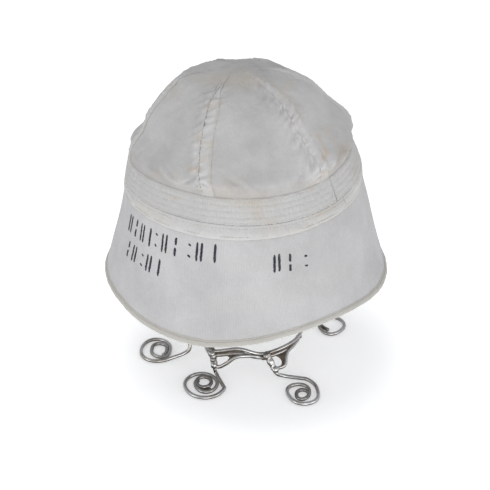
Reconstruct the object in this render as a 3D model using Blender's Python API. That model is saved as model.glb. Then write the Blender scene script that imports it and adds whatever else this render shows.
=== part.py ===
"""A cotton sailor cap with its brim turned down, resting on a bent wire stand.

The cap is drawn on one outer form, cap_point. A level runs up that form: -1 is
the brim's lower edge, 0 the seam between brim and band, 1 the band's upper
edge and 2 the top of the crown. An azimuth runs round it in degrees: 0 is the
front (-Y), 90 the wearer's left (+X). Every cloth piece is a sheet at some
depth inside that form, thickened by a Solidify modifier.
"""

from collections import namedtuple
from math import ceil, cos, hypot, pi, radians, sin, tan

import bmesh
import bpy
from mathutils import Vector

# Driving dimensions of the cap, in metres and degrees.
HEAD_RADIUS = 0.089
BAND_HEIGHT = 0.0178
CROWN_HEIGHT = 0.0825
BRIM_DEPTH = 0.0831
SEAM_HEIGHT = 0.160
CAP_LEAN = -3.96

# Cloth, as it lies in layers.
SINGLE_CLOTH = 0.0010
DOUBLE_CLOTH = 0.0014
GAP = 0.0003
LAP_WIDTH = 0.009
LAP_STEP = 0.003
SEAM_STRIP_WIDTH = 0.0092
HEM_WIDTH = 0.0050
GORE_TUCK = 0.007
BRIM_TUCK = 0.0035
GORE_FLATNESS = 0.0010

# How the cloth lies out of true: the seam rises and falls twice round the
# head, the brim three times, and the brim as a whole drops to one side.
SEAM_WAVE = 0.0040
SEAM_WAVE_CREST = 119.0
BRIM_WAVE = 0.0062
BRIM_WAVE_CREST = 35.0
BRIM_SIDE_DROP = 2.1
BRIM_BACK_RISE = 1.4
APEX_SHIFT = 0.002

# The outer form, from the brim's edge to the crown's top. Each reach is from
# the axis out to one side, as a fraction of the head radius.
Section = namedtuple("Section", "level left right front back")
SECTIONS = (
    Section(-1.00, 1.298, 1.224, 1.221, 1.255),
    Section(-0.68, 1.200, 1.142, 1.162, 1.171),
    Section(-0.36, 1.100, 1.077, 1.097, 1.096),
    Section(-0.10, 1.034, 1.019, 1.036, 1.036),
    Section(0.00, 1.010, 0.999, 0.982, 1.000),
    Section(1.00, 0.953, 0.929, 0.916, 0.943),
    Section(1.16, 0.930, 0.947, 0.924, 0.944),
    Section(1.34, 0.821, 0.837, 0.840, 0.834),
    Section(1.52, 0.761, 0.719, 0.743, 0.738),
    Section(1.70, 0.655, 0.602, 0.628, 0.640),
    Section(1.85, 0.535, 0.418, 0.478, 0.448),
    Section(1.95, 0.406, 0.175, 0.275, 0.283),
    Section(2.00, 0.0, 0.0, 0.0, 0.0),
)

# Where each gore's leading edge laps over its neighbour, at the middle of the
# crown, and how many degrees those seams turn for each level they rise.
GORE_SEAMS = (-144.0, -84.0, -20.5, 41.0, 100.0, 158.0)
GORE_TWIST = -8.0
MID_CROWN = 1.4

# Soft folds and dents. A push above zero stands the cloth out, below zero
# presses it in. Spreads are half widths at which a fold has faded to a third,
# and the lean turns a fold's line by so many degrees for each level it rises.
Fold = namedtuple("Fold", "azimuth level spread length lean push")
FOLDS = (
    Fold(-2, 1.10, 3.5, 0.13, -14, -0.0022),
    Fold(4, 1.14, 4.5, 0.15, -14, 0.0014),
    Fold(-44, 1.12, 4.0, 0.12, -40, -0.0020),
    Fold(-37, 1.14, 4.5, 0.14, -40, 0.0012),
    Fold(60, 1.12, 4.0, 0.16, 40, -0.0024),
    Fold(67, 1.16, 5.0, 0.15, 40, 0.0016),
    Fold(31, 1.13, 4.0, 0.14, 6, -0.0020),
    Fold(37, 1.20, 4.0, 0.20, -10, 0.0014),
    Fold(-23, 1.20, 6.0, 0.22, 0, 0.0010),
    Fold(-100, 1.15, 6.0, 0.20, 10, 0.0018),
    Fold(-112, 1.12, 5.0, 0.16, 10, -0.0020),
    Fold(85, 1.13, 4.5, 0.16, 10, -0.0020),
    Fold(128, 1.13, 5.0, 0.16, -8, -0.0022),
    Fold(171, 1.12, 5.0, 0.17, 12, -0.0020),
    Fold(-160, 1.14, 5.0, 0.15, -10, 0.0016),
    Fold(14, 1.60, 16.0, 0.20, 0, -0.0016),
    Fold(-55, 1.62, 16.0, 0.20, 0, -0.0014),
    Fold(30, -0.62, 14.0, 0.30, 0, 0.0014),
    Fold(-30, -0.70, 12.0, 0.30, 0, -0.0014),
    Fold(75, -0.70, 14.0, 0.35, 0, -0.0018),
)

# How finely the cloth is divided.
RING_COLUMNS = 60
GORE_COLUMNS = 4
GORE_LEVELS = (1.0, 1.07, 1.16, 1.27, 1.40, 1.54, 1.67, 1.79, 1.87, 1.93, 1.97)
GORE_TIP_LEVEL = 1.997

# The wire stand. A wire is a six-sided tube with a flat below. Its base ring is
# two strands bound together at each leg.
WIRE_HALF = 0.0015
WIRE_SIDES = 6
BINDING_HALF = 0.0028
RING_RADIUS = 0.048
RING_HEIGHT = 0.0200
STRAND_DROP = 0.0035
TAIL_RISE = 0.0010
TOP_RING_RADIUS = 0.032
TOP_RING_HEIGHT = 0.2307
TOP_RING_SHIFT = Vector((-0.004, 0, 0))

# A scroll's reach from its middle, in millimetres, at each sixth of a turn
# from where its wire enters to its inner end. The outer loop lies open round
# a tighter coil that sits off its middle.
MILLIMETRE = 0.001
SIXTH_TURN = 60.0
SCROLL_STEP = 40.0
WIDE_SCROLL = (17.0, 18.8, 16.4, 14.7, 12.2, 9.9, 10.3, 11.8, 8.0, 7.2, 8.0, 5.7, 4.6, 4.6)
LEFT_SCROLL = (15.5, 16.5, 15.2, 15.7, 10.9, 8.7, 11.2, 8.3, 6.6, 8.7, 6.7, 3.9, 3.6)
RIGHT_SCROLL = (19.4, 13.2, 13.1, 12.1, 10.3, 12.8, 11.0, 6.2, 5.7, 7.0, 4.5, 4.0, 4.3)
TIGHT_SCROLL = (12.5, 13.0, 12.0, 10.5, 10.9, 9.0, 8.0, 6.5, 5.4, 4.8, 5.0)

# A knee's turn from its leg's azimuth, its reach and its height. A bow is how
# far in and up each strand of the ring runs, half-way on to the next leg.
Knee = namedtuple("Knee", "turn reach height")
Bow = namedtuple("Bow", "upper_in upper_up lower_in lower_up")
HIDDEN_KNEE = Knee(5, 0.0515, 0.0095)
EVEN_BOW = Bow(0.005, 0.0025, 0.0025, 0.0)

# Each foot: the azimuth where its leg leaves the ring, the middle of its
# scroll, the direction from which its wire enters the scroll and the scroll's
# reaches, its knee and the bow that follows it. A brace is how far its bend
# sags, or None, and the legs that carry an upright have a rise of 1.
Foot = namedtuple("Foot", "azimuth x y entry scroll knee bow brace rise")
FRONT_LEFT_BOW = Bow(0.0020, 0.0050, 0.0015, 0.0045)
FRONT_RIGHT_BOW = Bow(-0.0015, 0.0005, 0.0, -0.0010)
LEFT_BOW = Bow(0.005, 0.0025, 0.006, 0.0015)
FEET = (
    Foot(-31, -0.0306, -0.0583, -22, WIDE_SCROLL, Knee(4.5, 0.0515, 0.0075), FRONT_LEFT_BOW, 0, 1),
    Foot(21, 0.0452, -0.0720, 79, RIGHT_SCROLL, Knee(5, 0.057, 0.007), FRONT_RIGHT_BOW, 0.003, 0),
    Foot(102, 0.0725, 0.0195, 150, TIGHT_SCROLL, Knee(5, 0.0505, 0.008), EVEN_BOW, 0, 1),
    Foot(158, 0.0330, 0.0705, 215, RIGHT_SCROLL, HIDDEN_KNEE, EVEN_BOW, 0, 0),
    Foot(-142, -0.0440, 0.0610, 275, WIDE_SCROLL, HIDDEN_KNEE, EVEN_BOW, 0, 1),
    Foot(-70, -0.0688, -0.0134, -65, LEFT_SCROLL, Knee(6, 0.0485, 0.0095), LEFT_BOW, None, 0),
)

# Colours as red, green and blue from 0 to 1.
WHITE_COTTON = (0.62, 0.61, 0.60)
CREAM_COTTON = (0.64, 0.61, 0.55)
STEEL = (0.32, 0.30, 0.28)


def clear_scene():
    for obj in list(bpy.data.objects):
        bpy.data.objects.remove(obj, do_unlink=True)


def material(name, colour, roughness, metallic):
    made = bpy.data.materials.new(name)
    made.use_nodes = True
    shader = made.node_tree.nodes["Principled BSDF"]
    shader.inputs["Base Color"].default_value = (*colour, 1.0)
    shader.inputs["Roughness"].default_value = roughness
    shader.inputs["Metallic"].default_value = metallic
    return made


def place(obj, parent):
    bpy.context.scene.collection.objects.link(obj)
    obj.parent = parent
    return obj


def mesh_object(name, points, faces, look, parent):
    mesh = bpy.data.meshes.new(name)
    mesh.from_pydata(points, [], faces)
    mesh.materials.append(look)
    mesh.shade_smooth()
    mesh.set_sharp_from_angle(angle=radians(50))
    return place(bpy.data.objects.new(name, mesh), parent)


def catmull_rom(before, start, end, after, part):
    """One coordinate of a smooth curve that passes through start and end."""
    return 0.5 * (
        2 * start
        + (end - before) * part
        + (2 * before - 5 * start + 4 * end - after) * part**2
        + (3 * start - before - 3 * end + after) * part**3
    )


def height_of(level):
    if level < 0:
        return level * BRIM_DEPTH
    if level <= 1:
        return level * BAND_HEIGHT
    return BAND_HEIGHT + (level - 1) * (CROWN_HEIGHT - BAND_HEIGHT)


def section_rows():
    """Height and four reaches of each section, with one row past each end."""
    rows = []
    for section in SECTIONS:
        reaches = [HEAD_RADIUS * part for part in section[1:]]
        rows.append([height_of(section.level), *reaches])
    below = [2 * a - b for a, b in zip(rows[0], rows[1])]
    over_top = [rows[-2][0], *[-reach for reach in rows[-2][1:]]]
    return [below, *rows, over_top]


SECTION_ROWS = section_rows()


def form_at(level):
    """Height, then reach to the left, right, front and back, at a level."""
    index = 0
    while index < len(SECTIONS) - 2 and level > SECTIONS[index + 1].level:
        index += 1
    low, high = SECTIONS[index].level, SECTIONS[index + 1].level
    part = (level - low) / (high - low)
    around = SECTION_ROWS[index : index + 4]
    return [catmull_rom(*column, part) for column in zip(*around)]


def fade(value, start, end):
    """1 up to start, 0 from end on, and smooth between them."""
    part = min(max((value - start) / (end - start), 0.0), 1.0)
    return 1 - part * part * (3 - 2 * part)


def turn_between(azimuth, other):
    """Degrees from other round to azimuth, between -180 and 180."""
    return (azimuth - other + 180) % 360 - 180


def reach_at(level, azimuth):
    """The outer form's reach from its axis: four quarters of ellipses."""
    _, left, right, front, back = form_at(level)
    across, along = sin(radians(azimuth)), cos(radians(azimuth))
    side = max(right if across >= 0 else left, 1e-6)
    facing = max(front if along >= 0 else back, 1e-6)
    return 1 / hypot(across / side, along / facing)


def form_point(level, azimuth):
    """A point of the outer form before its folds, seam centre at the origin."""
    height = form_at(level)[0]
    reach = reach_at(level, azimuth)
    across, along = sin(radians(azimuth)), cos(radians(azimuth))
    rise = max(level - 1, 0.0)
    drop = max(-level, 0.0)
    x = reach * across + APEX_SHIFT * rise
    y = -reach * along
    wave = SEAM_WAVE * cos(2 * radians(azimuth - SEAM_WAVE_CREST))
    height += wave * (1 - drop) * max(1 - 1.5 * rise, 0.0)
    brim_wave = BRIM_WAVE * cos(3 * radians(azimuth - BRIM_WAVE_CREST))
    slope = -tan(radians(BRIM_SIDE_DROP)) * x + tan(radians(BRIM_BACK_RISE)) * y
    return Vector((x, y, height + drop * (brim_wave + slope)))


def form_normal(level, azimuth):
    step = 0.01
    up = form_point(level + step, azimuth) - form_point(level - step, azimuth)
    turn = 100 * step
    along = form_point(level, azimuth + turn) - form_point(level, azimuth - turn)
    return along.cross(up).normalized()


def fold_push(level, azimuth):
    """How far the folds stand the cloth out. The sewn band lies free of them."""
    push = 0.0
    free = 1 - fade(abs(level - 0.5), 0.5, 0.6)
    for fold in FOLDS:
        lift = level - fold.level
        turn = turn_between(azimuth, fold.azimuth + fold.lean * lift)
        push += fold.push * 2.718 ** -((turn / fold.spread) ** 2 + (lift / fold.length) ** 2)
    return free * push


def gore_twist(level):
    return GORE_TWIST * (level - MID_CROWN)


def gore_hollow(level, azimuth):
    """How far the cloth lies in between two seams of the crown."""
    turned = azimuth - gore_twist(level)
    nearest = min(abs(turn_between(turned, seam)) for seam in GORE_SEAMS)
    rise = min(max((level - 1.1) / 0.3, 0.0), 1.0) * fade(level, 1.7, 2.0)
    return GORE_FLATNESS * rise * (1 - cos(radians(6 * min(nearest, 30)))) / 2


def cap_point(level, azimuth, depth):
    """A point of the cap, so far inside the outer form."""
    level = min(level, GORE_TIP_LEVEL)
    inward = depth + gore_hollow(level, azimuth) - fold_push(level, azimuth)
    return form_point(level, azimuth) - form_normal(level, azimuth) * inward


def ring_degrees(start=-180.0, slit=0.0):
    """Azimuths round the cap: the whole way, or less a slit at start."""
    if slit:
        span = 360 - slit
        return [start + slit / 2 + span * i / RING_COLUMNS for i in range(RING_COLUMNS + 1)]
    return [start + 360 * i / RING_COLUMNS for i in range(RING_COLUMNS)]


def sheet_faces(rows, columns, closed):
    faces = []
    for row in range(rows - 1):
        for column in range(columns if closed else columns - 1):
            beside = (column + 1) % columns
            low, high = row * columns, (row + 1) * columns
            faces.append((low + column, low + beside, high + beside, high + column))
    return faces


def cloth(name, grid, thickness, look, parent, closed):
    """A sheet through a grid of rows of points, thickened to both sides."""
    points = [point for row in grid for point in row]
    faces = sheet_faces(len(grid), len(grid[0]), closed)
    made = mesh_object(name, points, faces, look, parent)
    wall = made.modifiers.new("wall", "SOLIDIFY")
    wall.thickness = thickness
    wall.offset = 0.0
    return made


def ring_cloth(name, stations, thickness, look, parent, slit_at=None):
    """A ring of cloth. Each station is a level and the wall's middle depth."""
    slit = 0.0 if slit_at is None else 0.25
    degrees = ring_degrees(slit_at or -180.0, slit)
    grid = [[cap_point(level, a, depth) for a in degrees] for level, depth in stations]
    return cloth(name, grid, thickness, look, parent, closed=slit_at is None)


def brim_level(distance):
    """The level at a distance down the brim's slope."""
    slope = hypot(BRIM_DEPTH, HEAD_RADIUS * (SECTIONS[0].front - SECTIONS[4].front))
    return -distance / slope


def make_brim(look, parent):
    """The turned-down brim, from behind the band's foot to inside the hem."""
    depth = SINGLE_CLOTH + GAP + DOUBLE_CLOTH / 2
    behind_band = DOUBLE_CLOTH + 2 * GAP + DOUBLE_CLOTH / 2
    bottom = -1 - brim_level(0.0012)
    stations = [(level, depth) for level in (bottom, -0.65, -0.30)]
    stations += [(brim_level(0.003), behind_band), (BRIM_TUCK / BAND_HEIGHT, behind_band)]
    return ring_cloth("brim", stations, DOUBLE_CLOTH, look, parent)


def make_hem(look, parent):
    """Tape folded round the brim's lower edge."""
    outer = SINGLE_CLOTH / 2
    inner = SINGLE_CLOTH + 2.5 * GAP + DOUBLE_CLOTH + SINGLE_CLOTH / 2
    top = -1 - brim_level(HEM_WIDTH)
    turn = -1 - brim_level(0.0004)
    stations = (
        (top, outer),
        (turn, outer),
        (-1 + brim_level(0.0004), (outer + inner) / 2),
        (turn, inner),
        (top, inner),
    )
    return ring_cloth("brim_hem", stations[::-1], SINGLE_CLOTH, look, parent)


def make_seam_strip(look, parent):
    """The strip that covers the seam between brim and band."""
    depth = SINGLE_CLOTH / 2
    levels = (brim_level(SEAM_STRIP_WIDTH), brim_level(0.0004))
    stations = [(level, depth) for level in levels]
    return ring_cloth("seam_strip", stations, SINGLE_CLOTH, look, parent, slit_at=54.0)


def make_band(look, parent):
    """The band round the head, open at the joint of its two ends."""
    depth = DOUBLE_CLOTH / 2
    stations = [(level, depth) for level in (0.02, 0.35, 0.68, 1.0)]
    return ring_cloth("crown_band", stations, DOUBLE_CLOTH, look, parent, slit_at=49.0)


def degrees_of(length, level, azimuth):
    """A length along the outer form's ring, as at most 12 degrees round it."""
    return min(length / reach_at(level, azimuth) * 180 / pi, 12.0)


def seam_lap(level, azimuth):
    """Half of a seam's lap in degrees. By the crown's top the edges just meet."""
    lapped = fade(level, 1.68, 1.90)
    half = LAP_WIDTH / 2 * lapped - 0.6 * GAP * (1 - lapped)
    return degrees_of(half, level, azimuth)


def gore_depth(level, azimuth, end, lap):
    """Depth of a gore's middle: it steps up where it laps its neighbour."""
    lower = 1.5 * (SINGLE_CLOTH + GAP)
    ramp = degrees_of(LAP_STEP, level, end)
    stepped = fade(end + lap - azimuth, 2 * lap, 2 * lap + ramp)
    step = (SINGLE_CLOTH + 1.5 * GAP) * stepped * fade(level, 1.93, 1.97)
    return lower - step + (DOUBLE_CLOTH + 2 * GAP) * fade(level, 1.0, 1.10)


def gore_columns(level, start, end):
    """Azimuths across a gore. Those in a lap match the neighbour's there."""
    first, last = start - seam_lap(level, start), end + seam_lap(level, end)
    least = degrees_of(LAP_STEP, level, end) / 3
    near = max(seam_lap(level, start), least)
    far = max(seam_lap(level, end), least)
    step = last - 2 * far - degrees_of(LAP_STEP, level, end)
    low = first + 2 * near
    inner = [low + (step - low) * i / GORE_COLUMNS for i in range(GORE_COLUMNS + 1)]
    return [first, first + 0.95 * near, *inner, last - 2.05 * far, last - 1.05 * far, last]


def make_gore(number, start, end, look, parent):
    """One of the crown's panels, tucked under the band at its foot."""
    low = 1 - GORE_TUCK / BAND_HEIGHT
    grid = []
    for level in (low, *GORE_LEVELS, GORE_TIP_LEVEL):
        left, right = start + gore_twist(level), end + gore_twist(level)
        lap = seam_lap(level, right)
        columns = gore_columns(level, left, right)
        grid.append([cap_point(level, a, gore_depth(level, a, right, lap)) for a in columns])
    return cloth(f"crown_gore_{number}", grid, SINGLE_CLOTH, look, parent, closed=False)


def make_crown(look, parent):
    for number, start in enumerate(GORE_SEAMS, 1):
        end = GORE_SEAMS[number % len(GORE_SEAMS)]
        make_gore(number, start, start + (end - start) % 360, look, parent)


def polar(azimuth, radius, height):
    turn = radians(azimuth)
    return Vector((radius * sin(turn), -radius * cos(turn), height))


def smooth_path(controls, pieces, closed=False):
    """Points of a smooth curve through the controls, so many to a stretch."""
    count = len(controls)
    if closed:
        around = [controls[-1], *controls, controls[0], controls[1]]
    else:
        first = 2 * controls[0] - controls[1]
        last = 2 * controls[-1] - controls[-2]
        around = [first, *controls, last]
    stretches = count if closed else count - 1
    path = []
    for i in range(stretches):
        for part in range(pieces):
            path.append(catmull_rom(*around[i : i + 4], part / pieces))
    return path if closed else [*path, controls[-1]]


def wire_mesh(path, half, closed=False):
    """A tube along a path, its cross-section carried along without a twist."""
    count = len(path)
    radius = half / cos(pi / WIRE_SIDES)
    points = []
    up = Vector((0, 0, 1))
    for i, point in enumerate(path):
        ahead = path[(i + 1) % count] if closed else path[min(i + 1, count - 1)]
        behind = path[i - 1] if closed or i else path[0]
        tangent = (ahead - behind).normalized()
        up = (up - tangent * up.dot(tangent)).normalized()
        side = tangent.cross(up)
        for k in range(WIRE_SIDES):
            turn = 2 * pi * k / WIRE_SIDES
            points.append(point + radius * (cos(turn) * side + sin(turn) * up))
    faces = sheet_faces(count + (1 if closed else 0), WIRE_SIDES, True)
    faces = [tuple(index % len(points) for index in face) for face in faces]
    if not closed:
        faces.append(tuple(range(WIRE_SIDES))[::-1])
        faces.append(tuple(range(len(points) - WIRE_SIDES, len(points))))
    return points, faces


def wire(name, path, look, parent, half=WIRE_HALF, closed=False):
    points, faces = wire_mesh(path, half, closed)
    made = mesh_object(name, points, faces, look, parent)
    mesh = bmesh.new()
    mesh.from_mesh(made.data)
    bmesh.ops.recalc_face_normals(mesh, faces=mesh.faces)
    mesh.to_mesh(made.data)
    mesh.free()
    return made


def ring_controls(drop, bow_in, bow_up):
    """A strand of the base ring, bowed between one leg and the next."""
    controls = []
    for i, foot in enumerate(FEET):
        following = FEET[(i + 1) % len(FEET)].azimuth
        middle = foot.azimuth + (following - foot.azimuth) % 360 / 2
        radius = RING_RADIUS - getattr(foot.bow, bow_in)
        height = RING_HEIGHT - drop + getattr(foot.bow, bow_up)
        controls.append(polar(foot.azimuth, RING_RADIUS, RING_HEIGHT - drop))
        controls.append(polar(middle, radius, height))
    return controls


def scroll_reach(reaches, sixths):
    """A scroll's reach at so many sixths of a turn inwards from its entry."""
    first = 2 * reaches[0] - reaches[1]
    last = 2 * reaches[-1] - reaches[-2]
    around = [first, *reaches, last]
    index = min(int(sixths), len(reaches) - 2)
    return MILLIMETRE * catmull_rom(*around[index : index + 4], sixths - index)


def scroll(foot):
    """A foot's flat scroll, from its inner end out to where its leg enters."""
    sixths = len(foot.scroll) - 1
    steps = ceil(sixths * SIXTH_TURN / SCROLL_STEP)
    path = []
    for i in range(steps + 1):
        inwards = sixths * (1 - i / steps)
        turn = radians(foot.entry - SIXTH_TURN * inwards)
        reach = scroll_reach(foot.scroll, inwards)
        path.append(Vector((foot.x + reach * cos(turn), foot.y + reach * sin(turn), WIRE_HALF)))
    return path


def knee_point(foot, lift=0.0, inward=0.0):
    knee = foot.knee
    return polar(foot.azimuth + knee.turn, knee.reach - inward, knee.height + lift)


def leg_path(foot):
    """Scroll, tail, knee and the rise to the ring."""
    path = scroll(foot)
    outward = (path[-1] - path[-2]).normalized()
    tail = (path[-1] + outward * 0.006).lerp(knee_point(foot), 0.65)
    tail.z = WIRE_HALF + TAIL_RISE
    top = polar(foot.azimuth, RING_RADIUS, RING_HEIGHT)
    return path[:-1] + smooth_path([path[-1], tail, knee_point(foot), top], 3)


def upright_path(foot):
    """An upright from the base ring to the ring under the crown."""
    controls = (
        polar(foot.azimuth, RING_RADIUS, RING_HEIGHT),
        polar(foot.azimuth, RING_RADIUS - 0.003, 0.080),
        polar(foot.azimuth, TOP_RING_RADIUS + 0.009, TOP_RING_HEIGHT - 0.050),
        polar(foot.azimuth, TOP_RING_RADIUS, TOP_RING_HEIGHT) + TOP_RING_SHIFT,
    )
    return smooth_path(controls, 2)


def brace_path(foot):
    """A brace from a leg's knee out and up to the ring's next stretch."""
    sag = foot.brace
    controls = (
        knee_point(foot, 0.003, 0.0005),
        polar(foot.azimuth + 14, RING_RADIUS + 0.004 + sag, RING_HEIGHT - 0.0065 - sag),
        polar(foot.azimuth + 26, RING_RADIUS + 0.0015, RING_HEIGHT - 0.0037),
        polar(foot.azimuth + 38, RING_RADIUS + 0.0005, RING_HEIGHT - 0.0032),
        polar(foot.azimuth + 50, RING_RADIUS, RING_HEIGHT - STRAND_DROP),
    )
    return smooth_path(controls, 3)


def binding_path(foot):
    """The bound joint between a leg and the ring's two strands."""
    low = knee_point(foot, 0.0020, 0.0005)
    return [low, polar(foot.azimuth, RING_RADIUS, RING_HEIGHT + 0.0015)]


def make_stand(look, parent):
    """Scroll-footed legs, braces, rings and uprights, all soldered into one."""
    upper = smooth_path(ring_controls(0.0, "upper_in", "upper_up"), 3, True)
    lower = smooth_path(ring_controls(STRAND_DROP, "lower_in", "lower_up"), 3, True)
    crest = [polar(20 * i, TOP_RING_RADIUS, TOP_RING_HEIGHT) for i in range(18)]
    top = [point + TOP_RING_SHIFT for point in crest]
    stand = wire("wire_stand", upper, look, parent, closed=True)
    fused = [
        wire("lower_strand", lower, look, parent, closed=True),
        wire("top_ring", top, look, parent, closed=True),
    ]
    for number, foot in enumerate(FEET, 1):
        fused.append(wire(f"leg_{number}", leg_path(foot), look, parent))
        if foot.brace is not None:
            fused.append(wire(f"brace_{number}", brace_path(foot), look, parent))
        fused.append(wire(f"binding_{number}", binding_path(foot), look, parent, BINDING_HALF))
        if foot.rise:
            fused.append(wire(f"upright_{number}", upright_path(foot), look, parent))
    for piece in fused:
        piece.hide_render = True
        piece.display_type = "WIRE"
        union = stand.modifiers.new(piece.name, "BOOLEAN")
        union.operation = "UNION"
        union.object = piece
    return stand


def centre_on_floor(root):
    """Moves everything so that the origin lies below the middle of it all."""
    bpy.context.view_layer.update()
    graph = bpy.context.evaluated_depsgraph_get()
    corners = []
    for obj in bpy.data.objects:
        if obj.type == "MESH" and not obj.hide_render:
            seen = obj.evaluated_get(graph)
            corners += [seen.matrix_world @ v.co for v in seen.data.vertices]
    for axis in (0, 1):
        values = [corner[axis] for corner in corners]
        root.location[axis] = -(min(values) + max(values)) / 2


def main():
    clear_scene()
    white = material("white_cotton", WHITE_COTTON, 0.9, 0.0)
    cream = material("cream_cotton", CREAM_COTTON, 0.9, 0.0)
    steel = material("polished_wire", STEEL, 0.25, 1.0)
    root = place(bpy.data.objects.new("part_origin", None), None)
    cap = place(bpy.data.objects.new("cap_lean", None), root)
    cap.location = (0, 0, SEAM_HEIGHT)
    cap.rotation_euler = (0, radians(CAP_LEAN), 0)
    make_crown(white, cap)
    make_band(white, cap)
    make_seam_strip(cream, cap)
    make_brim(white, cap)
    make_hem(cream, cap)
    make_stand(steel, root)
    centre_on_floor(root)


main()
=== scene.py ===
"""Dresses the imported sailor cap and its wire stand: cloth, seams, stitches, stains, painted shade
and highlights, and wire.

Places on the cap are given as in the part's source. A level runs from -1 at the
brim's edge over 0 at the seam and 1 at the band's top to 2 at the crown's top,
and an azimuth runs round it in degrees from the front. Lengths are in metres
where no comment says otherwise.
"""

from collections import namedtuple
from itertools import product
from math import ceil, cos, pi, radians, sin, tan

import bpy
import numpy as np
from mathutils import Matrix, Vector


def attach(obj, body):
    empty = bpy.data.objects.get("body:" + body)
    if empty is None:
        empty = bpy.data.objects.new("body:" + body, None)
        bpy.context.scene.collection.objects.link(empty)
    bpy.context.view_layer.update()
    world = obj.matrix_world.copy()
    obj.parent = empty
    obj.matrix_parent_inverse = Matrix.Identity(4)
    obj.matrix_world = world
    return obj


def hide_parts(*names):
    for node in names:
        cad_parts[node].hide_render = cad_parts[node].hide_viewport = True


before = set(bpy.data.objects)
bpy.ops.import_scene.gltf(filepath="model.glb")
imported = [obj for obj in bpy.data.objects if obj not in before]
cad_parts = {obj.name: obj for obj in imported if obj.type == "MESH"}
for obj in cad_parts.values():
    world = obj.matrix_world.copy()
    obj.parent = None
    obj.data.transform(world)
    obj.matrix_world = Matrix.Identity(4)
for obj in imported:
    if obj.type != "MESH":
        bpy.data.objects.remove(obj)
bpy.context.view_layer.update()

# The form, as in the part's source.
HEAD_RADIUS = 0.089
BAND_HEIGHT = 0.0178
CROWN_HEIGHT = 0.0825
BRIM_DEPTH = 0.0831
SEAM_HEIGHT = 0.160
CAP_LEAN = -3.96
ROOT_SHIFT = np.array((-0.0022994, -0.0015097, 0.0))
LAP_WIDTH = 0.009
GORE_TUCK = 0.007
BRIM_TUCK = 0.0035
GORE_FLATNESS = 0.0010
SEAM_WAVE = 0.0040
SEAM_WAVE_CREST = 119.0
BRIM_WAVE = 0.0062
BRIM_WAVE_CREST = 35.0
BRIM_SIDE_DROP = 2.1
BRIM_BACK_RISE = 1.4
APEX_SHIFT = 0.002
GORE_SEAMS = (-144.0, -84.0, -20.5, 41.0, 100.0, 158.0)
GORE_TWIST = -8.0
MID_CROWN = 1.4
GORE_TIP_LEVEL = 1.9996
BAND_JOINT = 49.0
STRIP_JOINT = 54.0
# Sections: level, then the reach to the left, right, front and back.
SECTIONS = np.array((
    (-1.00, 1.298, 1.224, 1.221, 1.255),
    (-0.68, 1.200, 1.142, 1.162, 1.171),
    (-0.36, 1.100, 1.077, 1.097, 1.096),
    (-0.10, 1.034, 1.019, 1.036, 1.036),
    (0.00, 1.010, 0.999, 0.982, 1.000),
    (1.00, 0.953, 0.929, 0.916, 0.943),
    (1.16, 0.930, 0.947, 0.924, 0.944),
    (1.34, 0.821, 0.837, 0.840, 0.834),
    (1.52, 0.761, 0.719, 0.743, 0.738),
    (1.70, 0.655, 0.602, 0.628, 0.640),
    (1.85, 0.535, 0.418, 0.478, 0.448),
    (1.95, 0.406, 0.175, 0.275, 0.283),
    (2.00, 0.0, 0.0, 0.0, 0.0),
))

# The look alone: how far the crown's seams turn from the solids' at their foot
# and near the top, in degrees, and how crumpled each of them is.
FOOT_TURN = 1.2
TOP_TURN = 2.5
CRUMPLING = (1.0, 0.5, 1.0, 1.6, 0.6, 1.0)

# Folds: azimuth, level in hundredths, spread in degrees, length in hundredths
# of a level, lean in degrees a level, push in tenths of a millimetre. The first
# 20 are the part's own, and the rest are finer creases.
FOLDS = (
    (-2, 110, 3.5, 13, -14, -22), (4, 114, 4.5, 15, -14, 14), (-44, 112, 4, 12, -40, -20),
    (-37, 114, 4.5, 14, -40, 12), (60, 112, 4, 16, 40, -24), (67, 116, 5, 15, 40, 16),
    (31, 113, 4, 14, 6, -20), (37, 120, 4, 20, -10, 14), (-23, 120, 6, 22, 0, 10),
    (-100, 115, 6, 20, 10, 18), (-112, 112, 5, 16, 10, -20), (85, 113, 4.5, 16, 10, -20),
    (128, 113, 5, 16, -8, -22), (171, 112, 5, 17, 12, -20), (-160, 114, 5, 15, -10, 16),
    (14, 160, 16, 20, 0, -16), (-55, 162, 16, 20, 0, -14), (30, -62, 14, 30, 0, 14),
    (-30, -70, 12, 30, 0, -14), (75, -70, 14, 35, 0, -18), (31.2, 114, 1.5, 11, 6, -19),
    (34.2, 115, 1.5, 11, 10, 11), (37.6, 122, 1.3, 7, 28, -14), (40.6, 122, 1.6, 8, 28, 8),
    (49.6, 113, 1.5, 12, -6, -19), (45.5, 114, 1.7, 10, -4, 12), (53.5, 115, 1.8, 10, 10, 13),
    (62, 122, 2.6, 10, 55, -10), (57, 118, 1.4, 8, 40, -7), (66.5, 115, 1.6, 9, 45, 10),
    (-36, 116, 1.6, 6, -60, -15), (-40, 117, 2.2, 7, -60, 9), (-31, 122, 1.8, 7, -50, 6),
    (-3, 118, 2.8, 10, -62, -14), (1.5, 119, 2.6, 10, -62, 10), (6.5, 113, 1.8, 7, -50, -9),
    (-26.5, 113, 1.4, 7, 55, -11), (-23.5, 112, 1.2, 6, 20, 6), (-17, 113, 1.4, 7, -60, -11),
    (-13.5, 114, 1.6, 6, -70, 6), (-66, 120, 2.4, 10, 30, -9), (-90, 118, 1.8, 10, -40, -10),
    (-118, 115, 1.6, 9, 30, -10), (-131, 114, 1.8, 10, -30, -9), (-150, 115, 1.6, 10, 45, -10),
    (-171, 114, 1.6, 8, -30, -9), (149, 115, 1.8, 10, 40, -10), (118, 116, 1.5, 9, -35, -9),
    (94, 115, 1.5, 9, 40, -10),
)
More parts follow.
